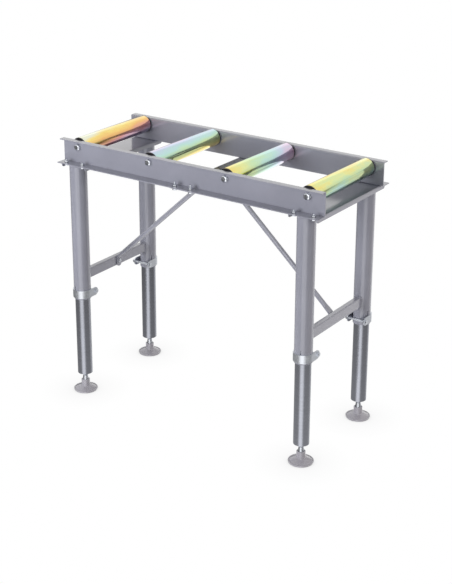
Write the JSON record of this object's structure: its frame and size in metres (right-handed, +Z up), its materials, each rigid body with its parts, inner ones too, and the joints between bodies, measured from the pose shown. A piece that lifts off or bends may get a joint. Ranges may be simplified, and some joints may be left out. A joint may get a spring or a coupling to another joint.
{
  "type": "roller conveyor",
  "caption": "Short roller conveyor: free rollers between two channel rails on braced telescopic tube legs with clamp straps and levelling feet.",
  "frame": {"origin": "on the floor under the middle of the conveyor", "axes": "+X along the rails, +Z up; the front rail is at -Y"},
  "size_m": [1, 0.446, 0.907],
  "materials": {
    "grey_paint": "gloss blue-grey paint on steel",
    "bright_zinc": "bright zinc plate",
    "dark_steel": "drawn steel tube",
    "stud_steel": "zinc-plated thread",
    "foot_grey": "grey paint on steel",
    "yellow_zinc": "iridescent yellow-passivated zinc plate",
    "black_plastic": "moulded black plastic",
    "bearing_steel": "ground steel"
  },
  "bodies": {
    "frame": {"front_rail": "grey_paint", "rear_rail": "grey_paint", "left_leg_head": "grey_paint", "right_leg_head": "grey_paint", "centre_bar": "grey_paint", "left_stretcher": "grey_paint", "right_stretcher": "grey_paint", "left_brace": "grey_paint", "right_brace": "grey_paint", "clamp_bolts": "bright_zinc", "clamp_nuts": "bright_zinc", "rail_bolts": "bright_zinc", "rail_nuts": "bright_zinc", "brace_bolts": "bright_zinc", "brace_nuts": "bright_zinc", "axle_bolts": "bright_zinc", "axle_washers": "bright_zinc", "bearing_inner_rings": "bearing_steel", "upper_leg_front_left": "grey_paint", "clamp_strap_front_left": "bright_zinc", "upper_leg_front_right": "grey_paint", "clamp_strap_front_right": "bright_zinc", "upper_leg_rear_left": "grey_paint", "clamp_strap_rear_left": "bright_zinc", "upper_leg_rear_right": "grey_paint", "clamp_strap_rear_right": "bright_zinc", "roller_axle_1": "bearing_steel", "roller_axle_2": "bearing_steel", "roller_axle_3": "bearing_steel", "roller_axle_4": "bearing_steel"},
    "roller_1": {"roller_tube_1": "yellow_zinc", "roller_end_caps_1": "black_plastic", "roller_bearings_1": "bearing_steel"},
    "roller_2": {"roller_tube_2": "yellow_zinc", "roller_end_caps_2": "black_plastic", "roller_bearings_2": "bearing_steel"},
    "roller_3": {"roller_tube_3": "yellow_zinc", "roller_end_caps_3": "black_plastic", "roller_bearings_3": "bearing_steel"},
    "roller_4": {"roller_tube_4": "yellow_zinc", "roller_end_caps_4": "black_plastic", "roller_bearings_4": "bearing_steel"},
    "leg_front_left": {"lower_leg_front_left": "dark_steel", "leg_plug_front_left": "dark_steel"},
    "pad_front_left": {"foot_pad_front_left": "foot_grey"},
    "stud_front_left": {"foot_stud_front_left": "stud_steel"},
    "leg_front_right": {"lower_leg_front_right": "dark_steel", "leg_plug_front_right": "dark_steel"},
    "pad_front_right": {"foot_pad_front_right": "foot_grey"},
    "stud_front_right": {"foot_stud_front_right": "stud_steel"},
    "leg_rear_left": {"lower_leg_rear_left": "dark_steel", "leg_plug_rear_left": "dark_steel"},
    "pad_rear_left": {"foot_pad_rear_left": "foot_grey"},
    "stud_rear_left": {"foot_stud_rear_left": "stud_steel"},
    "leg_rear_right": {"lower_leg_rear_right": "dark_steel", "leg_plug_rear_right": "dark_steel"},
    "pad_rear_right": {"foot_pad_rear_right": "foot_grey"},
    "stud_rear_right": {"foot_stud_rear_right": "stud_steel"}
  },
  "joints": [
    {"name": "roller_1_spin", "type": "hinge", "parent": "frame", "child": "roller_1", "pos_m": [-0.44, 0, 0.877], "axis": [0, 1, 0], "continuous": true},
    {"name": "roller_2_spin", "type": "hinge", "parent": "frame", "child": "roller_2", "pos_m": [-0.14667, 0, 0.877], "axis": [0, 1, 0], "continuous": true},
    {"name": "roller_3_spin", "type": "hinge", "parent": "frame", "child": "roller_3", "pos_m": [0.14667, 0, 0.877], "axis": [0, 1, 0], "continuous": true},
    {"name": "roller_4_spin", "type": "hinge", "parent": "frame", "child": "roller_4", "pos_m": [0.44, 0, 0.877], "axis": [0, 1, 0], "continuous": true},
    {"name": "leg_front_left_slide", "type": "slide", "parent": "frame", "child": "leg_front_left", "axis": [0, 0, -1], "range_m": [-0.272, 0.028]},
    {"name": "foot_front_left_screw", "type": "slide", "parent": "leg_front_left", "child": "pad_front_left", "axis": [0, 0, -1], "range_m": [-0.012, 0.015]},
    {"name": "stud_front_left_turn", "type": "hinge", "parent": "pad_front_left", "child": "stud_front_left", "pos_m": [-0.44, -0.182, 0.0153], "axis": [0, 0, -1], "continuous": true},
    {"name": "leg_front_right_slide", "type": "slide", "parent": "frame", "child": "leg_front_right", "axis": [0, 0, -1], "range_m": [-0.272, 0.028]},
    {"name": "foot_front_right_screw", "type": "slide", "parent": "leg_front_right", "child": "pad_front_right", "axis": [0, 0, -1], "range_m": [-0.012, 0.015]},
    {"name": "stud_front_right_turn", "type": "hinge", "parent": "pad_front_right", "child": "stud_front_right", "pos_m": [0.44, -0.182, 0.0153], "axis": [0, 0, -1], "continuous": true},
    {"name": "leg_rear_left_slide", "type": "slide", "parent": "frame", "child": "leg_rear_left", "axis": [0, 0, -1], "range_m": [-0.272, 0.028]},
    {"name": "foot_rear_left_screw", "type": "slide", "parent": "leg_rear_left", "child": "pad_rear_left", "axis": [0, 0, -1], "range_m": [-0.012, 0.015]},
    {"name": "stud_rear_left_turn", "type": "hinge", "parent": "pad_rear_left", "child": "stud_rear_left", "pos_m": [-0.44, 0.182, 0.0153], "axis": [0, 0, -1], "continuous": true},
    {"name": "leg_rear_right_slide", "type": "slide", "parent": "frame", "child": "leg_rear_right", "axis": [0, 0, -1], "range_m": [-0.272, 0.028]},
    {"name": "foot_rear_right_screw", "type": "slide", "parent": "leg_rear_right", "child": "pad_rear_right", "axis": [0, 0, -1], "range_m": [-0.012, 0.015]},
    {"name": "stud_rear_right_turn", "type": "hinge", "parent": "pad_rear_right", "child": "stud_rear_right", "pos_m": [0.44, 0.182, 0.0153], "axis": [0, 0, -1], "continuous": true}
  ],
  "couplings": [
    {"joint": "stud_front_left_turn", "follows": "foot_front_left_screw", "rad_per_m": 3141.6},
    {"joint": "stud_front_right_turn", "follows": "foot_front_right_screw", "rad_per_m": 3141.6},
    {"joint": "stud_rear_left_turn", "follows": "foot_rear_left_screw", "rad_per_m": 3141.6},
    {"joint": "stud_rear_right_turn", "follows": "foot_rear_right_screw", "rad_per_m": 3141.6}
  ]
}
